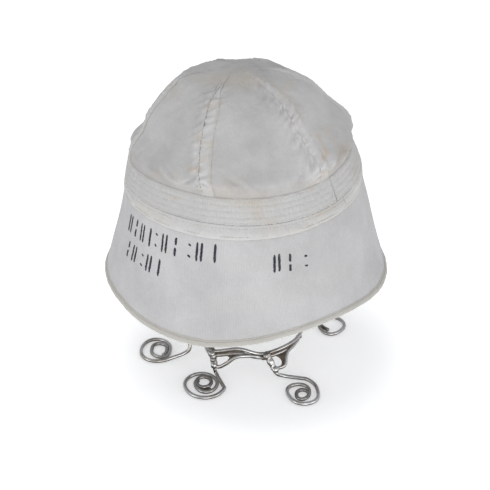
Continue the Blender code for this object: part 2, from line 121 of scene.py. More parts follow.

# Stains and painted shade: azimuth, level in hundredths, spread in degrees and in hundredths of a
# level, and how yellow, how brown and how rusty in per cent.
STAIN_AND_SHADE_MARKS = (
    (-72, 182, 14, 6, 30, 25, 0), (-40, 196, 40, 3, 50, 14, 0), (21, 194, 30, 4, 50, 14, 0),
    (-25, 180, 5, 5, 30, 0, 20), (-26, 155, 3, 5, 45, 0, 30), (-19, 150, 2.5, 3, 40, 0, 10),
    (-20, 137, 2, 4, 45, 0, 20), (-22, 127, 2.2, 2, 70, 20, 30), (-26, 126, 3, 3, 50, 10, 10),
    (-34, 115, 4, 5, 40, 15, 0), (-34, 62, 2, 6, 60, 0, 50), (-45, 110, 4, 6, 35, 20, 0),
    (-4, 118, 7, 8, 25, 18, 0), (4, 84, 9, 18, 50, 15, 10), (7, 45, 2, 30, 50, 5, 20),
    (-8, 100, 5, 10, 45, 10, 0), (12, 10, 3, 15, 35, 0, 20), (36, 92, 3, 10, 40, 0, 10),
    (46, 124, 1.6, 3, 80, 0, 60), (45, 110, 2, 2, 60, 0, 90), (43, 107, 1.6, 1.5, 40, 0, 60),
    # The row at azimuth 63 and level 118 is painted shade in a dent.
    (50, 127, 1.5, 5, 40, 0, 60), (51, 140, 1.5, 5, 30, 0, 50), (63, 118, 5, 7, 30, 80, 10),
    (60, 138, 5, 8, 25, 20, 10), (66, 183, 12, 3, 65, 0, 10), (46, 180, 5, 10, 30, 10, 10),
    (40, -2, 9, 2, 50, 0, 20), (25, -8, 8, 2, 30, 0, 10), (56, -10, 8, 2, 35, 5, 0),
    (72, 30, 6, 30, 35, 20, 0), (-50, -6, 10, 5, 35, 0, 0), (8, -30, 18, 5, 12, 0, 0),
    (-20, -95, 30, 3, 20, 0, 0), (20, -62, 30, 10, 8, 2, 0), (-110, 120, 6, 8, 40, 20, 10),
    (-150, 150, 10, 12, 30, 10, 0), (175, 115, 7, 6, 45, 20, 10), (140, 170, 9, 8, 35, 10, 0),
    (112, 125, 5, 5, 40, 20, 20), (-120, -30, 9, 10, 15, 5, 0), (160, -55, 12, 16, 15, 5, 0),
    # The rows at azimuth 78, 66 and 58 are painted shade of folds on the brim and at the crown's
    # right foot.
    (110, -80, 9, 8, 15, 5, 0), (78, -22, 5, 16, 5, 16, 0), (66, 109, 6, 6, 10, 55, 0),
    (58, 110, 4, 7, 15, 45, 0),
)

# Lines along a crown seam: their distance from its middle, and their spread.
PUCKERS = (-0.0046, 0.0084)
GROOVE = (-0.0040, 0.0005)
NEEDLE_LINE = (0.0031, 0.0006)
PUCKER_PITCH = 0.0066

# The band's stitch rows by level, and in degrees its ribs' pitch and its joint.
BAND_ROWS = (0.10, 0.30, 0.50, 0.70, 0.90)
RIB_PITCH = 2.05
JOINT_GAP = 0.25
STITCH_PITCH = 0.0027
STITCH_LENGTH = 0.0021
THREAD = 0.00017

# Whole numbers that lattice noise mixes its cells with.
CELL_PRIMES = (73856093, 19349663, 83492791)
SEED_STEP, SEED_START = 7919, 17
MIX_FACTOR, MIX_STEP = 1103515245, 12345
MIX_MASK = 0x7FFFFFFF
NOISE_STEPS = 65521


def section_rows():
    """Height and four reaches of each section, with one row past each end."""
    level = SECTIONS[:, 0]
    height = np.minimum(level, 0) * BRIM_DEPTH + np.clip(level, 0, 1) * BAND_HEIGHT
    height = height + np.maximum(level - 1, 0) * (CROWN_HEIGHT - BAND_HEIGHT)
    rows = np.column_stack([height, HEAD_RADIUS * SECTIONS[:, 1:]])
    return np.vstack([2 * rows[0] - rows[1], rows, rows[-2] * (1, -1, -1, -1, -1)])


SECTION_ROWS = section_rows()


def catmull_rom(before, start, end, after, part):
    """A smooth curve that passes through start and end."""
    return 0.5 * (
        2 * start
        + (end - before) * part
        + (2 * before - 5 * start + 4 * end - after) * part**2
        + (3 * start - before - 3 * end + after) * part**3
    )


def form_at(level):
    """Height, then reach to the left, right, front and back, at each level."""
    index = np.clip(np.searchsorted(SECTIONS[1:, 0], level), 0, len(SECTIONS) - 2)
    low, high = SECTIONS[index, 0], SECTIONS[index + 1, 0]
    part = ((level - low) / (high - low))[..., None]
    return catmull_rom(*(SECTION_ROWS[index + i] for i in range(4)), part)


def fade(value, start, end):
    """1 up to start, 0 from end on, and smooth between them."""
    part = np.clip((value - start) / (end - start), 0, 1)
    return 1 - part * part * (3 - 2 * part)


def turn_between(azimuth, other):
    return (azimuth - other + 180) % 360 - 180


def bump_at(value, centre, spread):
    return np.exp(-(((value - centre) / spread) ** 2))


def nearness(level, azimuth, at, height, spread, length, lean=0):
    """1 at a table's place on the cap and less away from it, turned by a lean."""
    lift = level - height / 100
    turn = turn_between(azimuth, at + lean * lift)
    return np.exp(-((turn / spread) ** 2) - (lift / (length / 100)) ** 2)


def reach_at(level, azimuth):
    form = form_at(level)
    across, along = np.sin(np.radians(azimuth)), np.cos(np.radians(azimuth))
    side = np.maximum(np.where(across >= 0, form[..., 2], form[..., 1]), 1e-6)
    facing = np.maximum(np.where(along >= 0, form[..., 3], form[..., 4]), 1e-6)
    return 1 / np.hypot(across / side, along / facing)


def form_point(level, azimuth):
    """The outer form before its folds, with the seam's centre at the origin."""
    height = form_at(level)[..., 0]
    reach = reach_at(level, azimuth)
    rise, drop = np.maximum(level - 1, 0), np.maximum(-level, 0)
    x = reach * np.sin(np.radians(azimuth)) + APEX_SHIFT * rise
    y = -reach * np.cos(np.radians(azimuth))
    wave = SEAM_WAVE * np.cos(2 * np.radians(azimuth - SEAM_WAVE_CREST))
    brim_wave = BRIM_WAVE * np.cos(3 * np.radians(azimuth - BRIM_WAVE_CREST))
    slope = -tan(radians(BRIM_SIDE_DROP)) * x + tan(radians(BRIM_BACK_RISE)) * y
    height = height + wave * (1 - drop) * np.maximum(1 - 1.5 * rise, 0)
    return np.stack([x, y, height + drop * (brim_wave + slope)], -1)


def form_normal(level, azimuth):
    up = form_point(level + 0.01, azimuth) - form_point(level - 0.01, azimuth)
    along = form_point(level, azimuth + 1) - form_point(level, azimuth - 1)
    normal = np.cross(along, up)
    return normal / np.linalg.norm(normal, axis=-1, keepdims=True)


def lengths_along(points):
    """The length of a line up to each of its points."""
    return np.concatenate([[0], np.cumsum(np.linalg.norm(np.diff(points, axis=0), axis=1))])


def sampled(points, places, where):
    """Points of a line at new places along it."""
    return np.stack([np.interp(where, places, points[:, i]) for i in range(3)], -1)


SLOPE_LEVELS = np.linspace(-1.02, 2.0, 600)
SLOPE_LENGTHS = lengths_along(form_point(SLOPE_LEVELS, np.zeros_like(SLOPE_LEVELS)))


def slope_length(level):
    """Length up the cap's slope, from below the brim's edge to a level."""
    return np.interp(level, SLOPE_LEVELS, SLOPE_LENGTHS)


def lattice_noise(points, seed):
    """Smooth seeded noise from -1 to 1, with one value to a unit cell."""
    cell = np.floor(points).astype(np.int64)
    part = points - cell
    part = part * part * (3 - 2 * part)
    total = 0.0
    for corner in product((0, 1), repeat=points.shape[-1]):
        mixed = np.full(cell.shape[:-1], seed * SEED_STEP + SEED_START, np.int64)
        for at, prime in zip(np.moveaxis(cell + corner, -1, 0), CELL_PRIMES):
            mixed = (mixed ^ (at * prime)) * MIX_FACTOR + MIX_STEP
            mixed = (mixed ^ (mixed >> 13)) & MIX_MASK
        value = (mixed % NOISE_STEPS) / (NOISE_STEPS - 1) * 2 - 1
        total = total + value * np.prod(np.where(corner, part, 1 - part), -1)
    return total


def noise_at(seed, *places):
    """Lattice noise at places given one direction at a time, in cells."""
    return lattice_noise(np.stack(np.broadcast_arrays(*places), -1), seed)


def rough(points, size, seed):
    """Two octaves of noise whose larger cells are of that size."""
    finer = lattice_noise(points / size * 2.1 + 5, seed + 1)
    return lattice_noise(points / size, seed) + 0.5 * finer


def seam_turn(level):
    """How far the crown's seams have turned at a level, in degrees."""
    turned = FOOT_TURN + (TOP_TURN - FOOT_TURN) * (1 - fade(level, 1.45, 1.75))
    return GORE_TWIST * (level - MID_CROWN) + turned


def gore_hollow(level, azimuth):
    """How far each gore flattens between its seams."""
    turned = azimuth - seam_turn(level)
    nearest = np.min([np.abs(turn_between(turned, seam)) for seam in GORE_SEAMS], 0)
    rise = np.clip((level - 1.1) / 0.3, 0, 1) * fade(level, 1.7, 2.0)
    return GORE_FLATNESS * rise * (1 - np.cos(np.radians(6 * np.minimum(nearest, 30)))) / 2


def seam_distance(level, azimuth, seam):
    """Signed distance from the middle of a crown seam, along the ring."""
    turned = azimuth - seam_turn(level)
    return np.radians(turn_between(turned, seam)) * reach_at(level, azimuth)


def seam_puckers(level, azimuth):
    """Short slanted puckers across each seam of the crown, and its groove."""
    length = slope_length(level)
    reach = fade(level, 1.90, 1.985) * (1 - fade(level, 1.0, 1.06))
    push = 0.0
    for number, seam in enumerate(GORE_SEAMS):
        away = seam_distance(level, azimuth, seam)
        sway = noise_at(31 + number, length / 0.009, np.sign(away + 0.004) * 3 + number * 9)
        size = 1 + 0.7 * noise_at(57, length / 0.009, away / 0.012 + number * 5)
        wave = np.sin(2 * pi * (length - 0.6 * away) / PUCKER_PITCH + 3 * sway)
        patch = noise_at(58, length / 0.0040 - away / 0.007, away / 0.0050 + number * 7)
        small = noise_at(59, length / 0.0021 - away / 0.004, away / 0.0024 + number * 3)
        folded = CRUMPLING[number] * bump_at(away, *PUCKERS)
        push = push + (0.00046 * size * wave + 0.00050 * patch + 0.00022 * small) * folded
        push = push - 0.00034 * bump_at(away, *GROOVE) - 0.00010 * bump_at(away, *NEEDLE_LINE)
    return push * reach


def foot_gathers(level, azimuth):
    """Small pleats where the crown's foot is sewn under the band."""
    place = azimuth / 4.2
    pleat = noise_at(91, place, 0) + 0.6 * noise_at(92, place * 2.3, 0)
    return 0.00055 * pleat * bump_at(level, 1.09, 0.06)


def band_relief(level, azimuth):
    """Stitch rows sunk into the band, its ribs, and its slight puckers."""
    inside = (1 - fade(level, 0.0, 0.06)) * fade(level, 0.94, 1.0)
    sunk = sum(bump_at(level, row, 0.030) for row in BAND_ROWS)
    gathered = 0.6 + 2.8 * bump_at(azimuth, 43, 10) + 2.0 * bump_at(azimuth, -26, 10)
    ribs = np.cos(2 * pi * azimuth / RIB_PITCH + 1.5 * level) * gathered
    crinkle = noise_at(44, azimuth / 2.6, level * 1.6)
    fine = noise_at(45, azimuth / 0.9, level * 7)
    return inside * (0.00012 * ribs + 0.00026 * crinkle + 0.00016 * fine - 0.00020 * sunk)


def brim_relief(level, azimuth):
    """Long shallow draws down the brim, and puckers at its hem and its top."""
    drawn = noise_at(61, azimuth / 5.5, level * 1.3)
    fine = noise_at(62, azimuth / 2.2, level * 3)
    hem = np.sin(np.radians(azimuth) * 74 + 3 * noise_at(63, azimuth / 9, 0))
    hem = hem * fade(level, -0.97, -0.86)
    on_tape = (1 - fade(level, -0.115, -0.10)) * fade(level, -0.02, 0.02)
    knots = noise_at(64, azimuth / 1.1, level / 0.028)
    sunk = bump_at(level, -0.022, 0.008) + bump_at(level, -0.090, 0.008)
    below = fade(level, -0.10, 0.0) * (0.00045 * drawn + 0.00018 * fine + 0.00012 * hem)
    return below + on_tape * (0.00017 * knots - 0.00016 * sunk)


def relief(level, azimuth):
    """How far the cloth stands out of its plain form. It is alike in all layers."""
    free = 1 - fade(np.abs(level - 0.5), 0.5, 0.6)
    folds = sum(push / 10000 * nearness(level, azimuth, *place) for *place, push in FOLDS)
    at = form_point(level, azimuth)
    soft = 0.00050 * rough(at, 0.016, 3) + 0.00020 * rough(at * (1, 1, 0.6), 0.0055, 8)
    soft = soft * (1.9 - 0.9 * fade(level, 1.62, 1.86)) * (1 - fade(level, 1.0, 1.15))
    push = free * (folds + foot_gathers(level, azimuth)) + soft
    sewn = (seam_puckers, band_relief, brim_relief)
    return push + sum(layer(level, azimuth) for layer in sewn)


def to_frame(points):
    """From the cap's own upright place to its lean on the stand."""
    x, y, z = np.moveaxis(points, -1, 0)
    turned, upright = sin(radians(CAP_LEAN)), cos(radians(CAP_LEAN))
    leant = [upright * x + turned * z, y, -turned * x + upright * z + SEAM_HEIGHT]
    return np.stack(leant, -1) + ROOT_SHIFT


def cap_point(level, azimuth, depth):
    """Points of the cap in the row frame, so far inside its outer form."""
    level, azimuth, depth = np.broadcast_arrays(level, azimuth, depth)
    level = np.minimum(level, GORE_TIP_LEVEL)
    inward = depth + gore_hollow(level, azimuth) - relief(level, azimuth)
    return to_frame(form_point(level, azimuth) - form_normal(level, azimuth) * inward[..., None])


def brim_level(distance):
    """The level at a distance down the brim's slope from the seam."""
    slope = np.hypot(BRIM_DEPTH, HEAD_RADIUS * (SECTIONS[0, 3] - SECTIONS[4, 3]))
    return -distance / slope


def edge_level(distance):
    """The level at a distance up the brim's slope from its edge."""
    return -1 - brim_level(distance)


def stain_and_shade_at(level, azimuth):
    """Yellow, brown, rusty and bleached amounts, from the table and along sewn edges. Some of the
    brown is painted shade, along each lap's edge and at the crown's foot.
    """
    amounts = np.zeros((*level.shape, 4))
    for *place, yellow, brown, rusty in STAIN_AND_SHADE_MARKS:
        near = nearness(level, azimuth, *place)[..., None]
        amounts[..., :3] += near * np.array((yellow, brown, rusty)) / 100
    length = slope_length(level)
    below_tip = fade(level, 1.86, 1.96)
    for seam in GORE_SEAMS:
        away = seam_distance(level, azimuth, seam)
        # Brown lines along each lap's edge: painted shade of the lap's edge, with soiling.
        edge = 0.50 * bump_at(away, 0.0040, 0.0013) + 0.16 * bump_at(away, -0.0054, 0.0012)
        broken = 0.6 + 0.6 * noise_at(71, length / 0.007, seam)
        edge_shade_and_dirt = np.where((level > 1.0) & (level < 1.9), edge * broken, 0)
        amounts[..., :2] += edge_shade_and_dirt[..., None] * (1, 0.4)
        bleached = 0.75 * np.clip(1.6 - np.abs(away + 0.0005) / 0.0042, 0, 1)
        spotted = noise_at(72, length / 0.0042 - away / 0.007, away / 0.006 + seam)
        beside = 0.8 * bump_at(away, -0.0072, 0.0024) * np.clip(0.4 + 1.4 * spotted, 0, 1)
        amounts[..., 3] += np.where(level > 1.0, (bleached + beside) * below_tip, 0)
    amounts[..., 0] += 0.12 * bump_at(level, 1.03, 0.05) + 0.16 * bump_at(level, -0.115, 0.012)
    # Brown at the crown's foot: painted shade, with soiling.
    amounts[..., 1] += 0.24 * bump_at(level, 1.05, 0.07)
    amounts[..., 3] += np.where((level > 0) & (level <= 1.0), 0.55, 0)
    return np.clip(amounts, 0, 1)


def numbered(*shape):
    """A grid of point numbers."""
    return np.arange(np.prod(shape)).reshape(shape)


def wrapped(index):
    """The grid with its first column once more after its last."""
    return np.concatenate([index, index[..., :1]], -1)


def quads(index, order=(0, 1, 2, 3)):
    """Quads between a grid's rows. They face out where azimuths and levels rise."""
    low, high = index[..., :-1, :], index[..., 1:, :]
    corners = (low[..., :-1], low[..., 1:], high[..., 1:], high[..., :-1])
    return np.stack([corners[i] for i in order], -1).reshape(-1, 4)


def outward(points, groups):
    """The faces, turned over if together they enclose a negative volume."""
    points = points - points.mean(0)
    volume = 0.0
    for group in groups:
        for corner in range(1, group.shape[1] - 1):
            crossed = np.cross(points[group[:, corner]], points[group[:, corner + 1]])
            volume += np.sum(points[group[:, 0]] * crossed)
    return groups if volume > 0 else [group[:, ::-1] for group in groups]


def loft(rings, closed=False):
    """A skin over rings of an even number of points. It closes on itself or is filled."""
    index = numbered(*rings.shape[:2])
    skin = wrapped(index)
    groups = [quads(np.vstack([skin, skin[:1]]) if closed else skin, (1, 0, 3, 2))]
    if not closed:
        sides = index.shape[1]
        place = np.arange(sides // 2 - 1)
        rungs = np.stack([place, place + 1, sides - 2 - place, sides - 1 - place], -1)
        groups += [index[0][rungs], index[-1][rungs[:, ::-1]]]
    points = rings.reshape(-1, 3)
    return points, outward(points, groups)


def new_mesh(name, points, groups, look, sharp=40.0):
    """A smooth-shaded mesh whose faces come in groups of equal size."""
    mesh = bpy.data.meshes.new(name)
    faces = [face for group in groups for face in group.tolist()]
    mesh.from_pydata(points.reshape(-1, 3).tolist(), [], faces)
    mesh.materials.append(look)
    mesh.shade_smooth()
    mesh.set_sharp_from_angle(angle=radians(sharp))
    made = bpy.data.objects.new(name, mesh)
    bpy.context.scene.collection.objects.link(made)
    return made


def mesh_values(items, name, kind=float, width=1):
    values = np.empty(width * len(items), kind)
    items.foreach_get(name, values)
    return values


def write_colour(made, name, values):
    colour = made.data.color_attributes.new(name, "FLOAT_COLOR", "POINT")
    colour.data.foreach_set("color", values.ravel())


def write_cloth(made, level, azimuth):
    """Stains and painted shade as a colour on each point, and a map in millimetres across and up
    the cloth.
    """
    mesh = made.data
    corners = mesh_values(mesh.loops, "vertex_index", np.int32)
    across, up = azimuth.ravel()[corners], slope_length(level.ravel())[corners] * 1000
    starts, totals = (mesh_values(mesh.polygons, "loop_" + n, np.int32) for n in ("start", "total"))
    first = np.repeat(across[starts], totals)
    across = first + turn_between(across, first)
    reach = reach_at(np.clip(np.mean(level), -1, 1.2) + across * 0, across * 0)
    layer = mesh.uv_layers.new(name="weave")
    layer.uv.foreach_set("vector", np.column_stack([np.radians(across) * reach * 1000, up]).ravel())
    write_colour(made, "stains_and_shade", stain_and_shade_at(level, azimuth))


def cloth_shell(name, level, azimuth, outer, inner, look, closed=False):
    """A sheet with an outer and an inner face and rims between them."""
    points = np.concatenate([cap_point(level, azimuth, depth) for depth in (outer, inner)])
    index = numbered(*level.shape)
    faces = quads(wrapped(index) if closed else index)
    edges = [index[0], index[-1][::-1]]
    if closed:
        edges = map(wrapped, edges)
    else:
        edges += [index[::-1, 0], index[:, -1]]
    rims = [quads(np.array([edge + index.size, edge])) for edge in edges]
    groups = [faces, faces[:, ::-1] + index.size, *rims]
    made = new_mesh(name, points, groups, look)
    write_cloth(made, np.concatenate([level, level]), np.concatenate([azimuth, azimuth]))
    return made


def profile_ring(name, profile, level_of, azimuths, look, closed=False):
    """A closed profile of distances and depths in millimetres, carried round the cap."""
    distance, depth = np.array(profile).T / 1000
    shape = len(azimuths), len(profile)
    level, depth = (np.broadcast_to(values, shape) for values in (level_of(distance), depth))
    azimuth = np.broadcast_to(azimuths[:, None], shape)
    made = new_mesh(name, *loft(cap_point(level, azimuth, depth), closed), look, 60)
    write_cloth(made, level, azimuth)
    return made


def degrees_of(length, level, azimuth):
    return np.minimum(np.degrees(length / reach_at(level, azimuth)), 12.0)


def stretches(*rows):
    """Numbers in stretches of from, to and how many. Only the last keeps its end."""
    last = len(rows) - 1
    return np.concatenate([np.linspace(*row, endpoint=i == last) for i, row in enumerate(rows)])


def seam_lap(level, azimuth):
    """Half of a seam's lap in degrees. By the crown's top the edges just meet."""
    lapped = fade(level, 1.76, 1.96)
    half = LAP_WIDTH / 2 * lapped - 0.00005 * (1 - lapped)
    return degrees_of(half, level, azimuth)


# Shares of a lap's width at which a gore has its columns, closest at its edges.
LAP_SHARES = np.array((
    0, 0.02, 0.04, 0.06, 0.08, 0.11, 0.16, 0.23, 0.31, 0.39,
    0.47, 0.55, 0.63, 0.71, 0.78, 0.84, 0.89, 0.93, 0.97, 1,
))
# A gore lies so deep inside the form and is so thick. Its lap rises to the form
# over the ramp, and is bevelled at its edge over that width.
GORE_DEPTH = 0.00075
GORE_RAMP = 0.0024
GORE_THICKNESS = 0.00100
EDGE_BEVEL = 0.00048
EDGE_WIDTH = 0.0009


def make_gore(number, start, end, look):
    """A panel of the crown: its far edge laps over the next one."""
    levels = stretches(
        (1 - GORE_TUCK / BAND_HEIGHT, 0.996, 4), (0.996, 1.005, 10),
        (1.005, 1.93, 116), (1.93, GORE_TIP_LEVEL, 14),
    )
    twist = seam_turn(levels)
    left, right = start + twist, end + twist
    near, far = seam_lap(levels, left), seam_lap(levels, right)
    ramp = degrees_of(GORE_RAMP, levels, right)
    first, last = left - near, right + far
    rise = last - 2 * np.maximum(far, ramp / 3)
    foot = rise - ramp
    joined = first + 2 * near
    share = np.arange(66)[:, None] / 66
    share = share - 0.55 * np.sin(2 * pi * share) / (2 * pi)
    azimuth = np.concatenate([
        np.linspace(first, joined, 5, endpoint=False), joined + (foot - joined) * share,
        np.linspace(foot, rise, 6, endpoint=False), rise + (last - rise) * LAP_SHARES[:, None],
    ]).T
    level = np.repeat(levels[:, None], azimuth.shape[1], 1)
    lifted = 1 - fade(azimuth, foot[:, None], rise[:, None])
    lapped = fade(level, 1.955, 1.985)
    width = np.minimum(0.12 * (last - rise), degrees_of(EDGE_WIDTH, levels, right))[:, None]
    edge = np.clip((azimuth - last[:, None] + width) / np.maximum(width, 1e-6), 0, 1)
    outer = GORE_DEPTH - lapped * (GORE_DEPTH * lifted - EDGE_BEVEL * edge**2)
    thick = GORE_THICKNESS - lapped * (0.00035 * lifted + 0.00045 * edge)
    under_band = fade(level, 0.9985, 1.0005)
    outer = outer + under_band * (0.00150 - 0.00040 * lifted - outer)
    inner = outer + thick + under_band * (0.00036 - thick)
    made = cloth_shell(f"gore_cloth_{number}", level, azimuth, outer, inner, look)
    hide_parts(f"crown_gore_{number}")
    return made


def ring_azimuths(count, joint=None):
    """Azimuths round the cap. At a joint they stop short on both sides of it."""
    if joint is None:
        return np.arange(count) * 360 / count - 180
    return joint + JOINT_GAP / 2 + (360 - JOINT_GAP) * np.arange(count + 1) / count


def make_band(look):
    levels = stretches((0.0005, 0.90, 42), (0.90, 1.0, 9))
    level, azimuth = np.meshgrid(levels, ring_azimuths(700, BAND_JOINT), indexing="ij")
    closing = np.clip((level - 0.90) / 0.10, 0, 1) ** 2
    outer = 0.00022 * bump_at(level, 0.0, 0.03) + 0.00068 * closing
    inner = 0.00080 + 0.00025 * fade(level, 0.970, 0.995)
    made = cloth_shell("band_cloth", level, azimuth, outer, inner, look)
    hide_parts("crown_band")
    return made


def make_brim(look):
    bottom, bend = edge_level(0.0012), brim_level(0.010)
    levels = stretches((bottom, bend, 78), (bend, BRIM_TUCK / BAND_HEIGHT, 14))
    level, azimuth = np.meshgrid(levels, ring_azimuths(520), indexing="ij")
    middle = 0.0020 + 0.0007 * (1 - fade(level, -0.115, brim_level(0.003)))
    made = cloth_shell("brim_cloth", level, azimuth, middle - 0.0007, middle + 0.0007, look, True)
    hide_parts("brim")
    return made


# The strip and the hem: how far down from the seam, or up from the brim's edge,
# and how deep, in millimetres.
STRIP_PROFILE = (
    (2, 1.18), (5, 1.22), (7.6, 1.22), (9.1, 1.21), (9, 1.04), (8.4, 0.78), (7.4, 0.5),
    (6.2, 0.34), (4.6, 0.3), (3, 0.22), (1.6, 0.1), (0.6, 0.12), (0.1, 0.3), (0.1, 0.95),
)
HEM_PROFILE = (
    (5, 1.24), (5.05, 1.14), (4.75, 0.96), (4.2, 0.8), (3.2, 0.56), (2, 0.28), (1, 0.2),
    (0.3, 0.62), (-0.2, 1.3), (-0.3, 2.1), (-0.2, 2.9), (0.3, 3.6), (1.2, 4), (2.2, 4.1),
    (3.4, 4.1), (4.4, 4), (4.9, 3.75), (5, 3.3), (4.9, 3.15), (4, 3.1), (2.5, 3.1),
    (1.3, 2.95), (0.8, 2.6), (0.7, 2.1), (0.8, 1.5), (1.3, 1.27), (2.5, 1.22), (4.2, 1.24),
)


def make_strip(look):
    """The tape below the seam, with a soft ridge along each of its edges."""
    azimuths = ring_azimuths(1000, STRIP_JOINT)
    made = profile_ring("strip_cloth", STRIP_PROFILE, brim_level, azimuths, look)
    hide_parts("seam_strip")
    return made


def make_hem(look):
    made = profile_ring("hem_cloth", HEM_PROFILE, edge_level, ring_azimuths(620), look, True)
    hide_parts("brim_hem")
    return made


# A stitch: places along it, and its middle's lift and its half width in threads.
STITCH_PLACES = np.array((0.0, 0.18, 0.5, 0.82, 1.0))
STITCH_LIFT = np.array((-0.9, 0.25, 0.75, 0.25, -0.9))
STITCH_WIDTH = np.array((0.55, 1.0, 1.1, 1.0, 0.55))
STITCH_SIDES = 5


def stitch_row(
    level, azimuth, depth, pitch=STITCH_PITCH, length=STITCH_LENGTH, thread=THREAD, skip=0.0, seed=1
):
    """Points and faces of one row of stitches along a line on the cap."""
    at = cap_point(level, azimuth, depth)
    out = cap_point(level, azimuth, depth - 0.001) - at
    along = lengths_along(at)
    starts = np.arange(0.0003, along[-1] - length, pitch)
    starts = starts[np.random.default_rng(seed).random(len(starts)) >= skip]
    where = starts[:, None] + length * STITCH_PLACES
    spine, normal = (sampled(points, along, where) for points in (at, out))
    normal /= np.linalg.norm(normal, axis=-1, keepdims=True)
    side = np.cross(np.gradient(spine, axis=1), normal)
    side /= np.linalg.norm(side, axis=-1, keepdims=True)
    centre = spine + normal * (STITCH_LIFT * thread)[:, None]
    turns = (np.arange(STITCH_SIDES) * 2 * pi / STITCH_SIDES)[:, None]
    ring = np.cos(turns) * side[:, :, None] + np.sin(turns) * normal[:, :, None]
    points = centre[:, :, None] + ring * (STITCH_WIDTH * thread)[:, None, None]
    index = numbered(*points.shape[:3])
    sides = quads(wrapped(index), (0, 3, 2, 1))
    return points.reshape(-1, 3), [sides, index[:, 0], index[:, -1, ::-1]]


def merged(name, rows, look):
    """One mesh of many closed skins, each its points and its groups of faces."""
    points, groups, count = [], [], 0
    for found, faces in rows:
        points.append(found)
        groups += [group + count for group in faces]
        count += len(found)
    return new_mesh(name, np.concatenate(points), groups, look, 80)


def seam_line(seam, away, low=1.03, high=1.88):
    """Levels and azimuths of a line that keeps its distance from a seam."""
    level = np.linspace(low, high, 220)
    middle = seam + seam_turn(level)
    narrow = 0.25 + 0.75 * fade(level, 1.76, 1.96)
    return level, middle + np.degrees(away * narrow / reach_at(level, middle))


def make_stitches(white, cream, grey, dark):
    """Rows of stitches on the band, the seams, the tape and the hem. The dark rows paint the shadow
    line under the band, and painted shade in one seam's groove over its stitches.
    """
    ring = np.linspace(-180, 180, 1400)
    band = np.linspace(BAND_JOINT + 0.5, BAND_JOINT + 359.5, 1400)
    front, back = np.linspace(-40, 84, 600), np.linspace(84, 320, 900)
    rows = [stitch_row(row, band, 0.0, seed=i) for i, row in enumerate(BAND_ROWS)]
    rows.append(stitch_row(np.linspace(0.05, 0.97, 60), BAND_JOINT - 1.6, 0.0, seed=21))
    for number, seam in enumerate(GORE_SEAMS):
        for away, seed in ((-0.0026, 31), (0.0031, 32)):
            rows.append(stitch_row(*seam_line(seam, away), 0.00002, seed=seed + number))
    taped = [
        stitch_row(brim_level(0.0018), ring, 0.00008, seed=41),
        stitch_row(brim_level(0.0076), ring, 0.00050, seed=42),
    ]
    hemmed = [stitch_row(edge_level(0.0038), ring, 0.00068, 0.0021, 0.0019, 0.00014, seed=43)]
    groove = seam_line(GORE_SEAMS[2], GROOVE[0], 1.02, 1.95)
    # Dark rows: a painted shadow line along the seam under the band, and painted shade in the left
    # seam's groove over its stitches.
    shaded = [
        stitch_row(0.0060, front, 0.00022, 0.0021, 0.0018, 0.00010, 0.20, seed=51),
        stitch_row(0.0060, back, 0.00022, 0.0023, 0.0017, 0.00008, 0.60, seed=52),
        stitch_row(*groove, 0.00010, 0.0023, 0.0020, 0.00017, 0.02, seed=62),
    ]
    return [
        merged("white_stitches", rows, white), merged("tape_stitches", taped, cream),
        merged("hem_stitches", hemmed, grey), merged("dark_stitches", shaded, dark),
    ]


# Ink: generic broken strokes in millimetres from a mark's centre: from x, y to
# x, y, and a width. They are slanted bars, each with a bridge, and lozenges,
# and spell nothing. Each mark has an azimuth and a level.
PAIR = ((-2.2, -6.4, -0.9, 6.2, 1.8), (1.3, -6.1, 2.6, 6.3, 1.8))
BROKEN_BAR = ((-0.8, -6.3, -0.2, -0.9, 1.9), (0.1, 0.9, 0.7, 6.2, 1.9))
BAR = ((-0.7, -6.3, 0.6, 6.2, 1.9),)
DOTS = ((-0.5, -4.6, -0.1, -3.2, 2.3), (0.3, 2.8, 0.7, 4.2, 2.3))
MARKS = (
    (-63.0, -0.275, PAIR), (-57.4, -0.270, BROKEN_BAR), (-52.2, -0.266, PAIR),
    (-46.4, -0.260, BAR), (-42.6, -0.252, DOTS), (-37.8, -0.250, PAIR),
    (-31.8, -0.245, BROKEN_BAR), (-24.8, -0.240, DOTS), (-20.2, -0.236, PAIR),
    (-13.0, -0.230, BAR), (-61.4, -0.492, BROKEN_BAR), (-56.6, -0.486, PAIR),
    (-50.4, -0.478, DOTS), (-46.2, -0.472, PAIR), (-40.2, -0.462, BAR),
    (12.8, -0.335, PAIR), (18.6, -0.352, BROKEN_BAR), (25.6, -0.372, DOTS),
)
INK_STEP = 0.45
INK_DEPTHS = (0.00124, 0.00129)


def ink_stroke(azimuth, level, stroke, seed):
    """A thin skin of ink just above the brim's cloth, with ragged edges."""
    start, step = np.array(stroke[:2]), np.subtract(stroke[2:4], stroke[:2])
    count = max(6, ceil(np.hypot(*step) / INK_STEP))
    along = np.linspace(0, 1, count)
    ragged = np.random.default_rng(seed)
    ends = np.minimum(1, 0.55 + 3.2 * np.minimum(along, 1 - along))
    uneven = 1 + 0.15 * ragged.standard_normal((count, 2)).clip(-1.3, 1.3)
    half = 0.5 * stroke[4] * ends[:, None] * uneven
    sway = 0.06 * ragged.standard_normal(count)
    cross = np.array((step[1], -step[0])) / np.hypot(*step)
    middle = start + along[:, None] * step + sway[:, None] * cross
    across = np.linspace(-1, 1, 5)
    spread = np.where(across < 0, half[:, :1], half[:, 1:]) * across
    flat = middle[:, None, :] + spread[..., None] * cross
    reach = reach_at(np.array(level), np.array(azimuth)) * 1000
    azimuths = azimuth + np.degrees(flat[..., 0] / reach)
    levels = level - brim_level(flat[..., 1] / 1000)
    top, under = (cap_point(levels, azimuths, depth) for depth in INK_DEPTHS)
    return loft(np.concatenate([top, under[:, ::-1]], 1))


def make_ink(look):
    rows = []
    for number, (azimuth, level, strokes) in enumerate(MARKS):
        for place, stroke in enumerate(strokes):
            rows.append(ink_stroke(azimuth, level, stroke, 100 + 10 * number + place))
    return merged("ink_marks", rows, look)


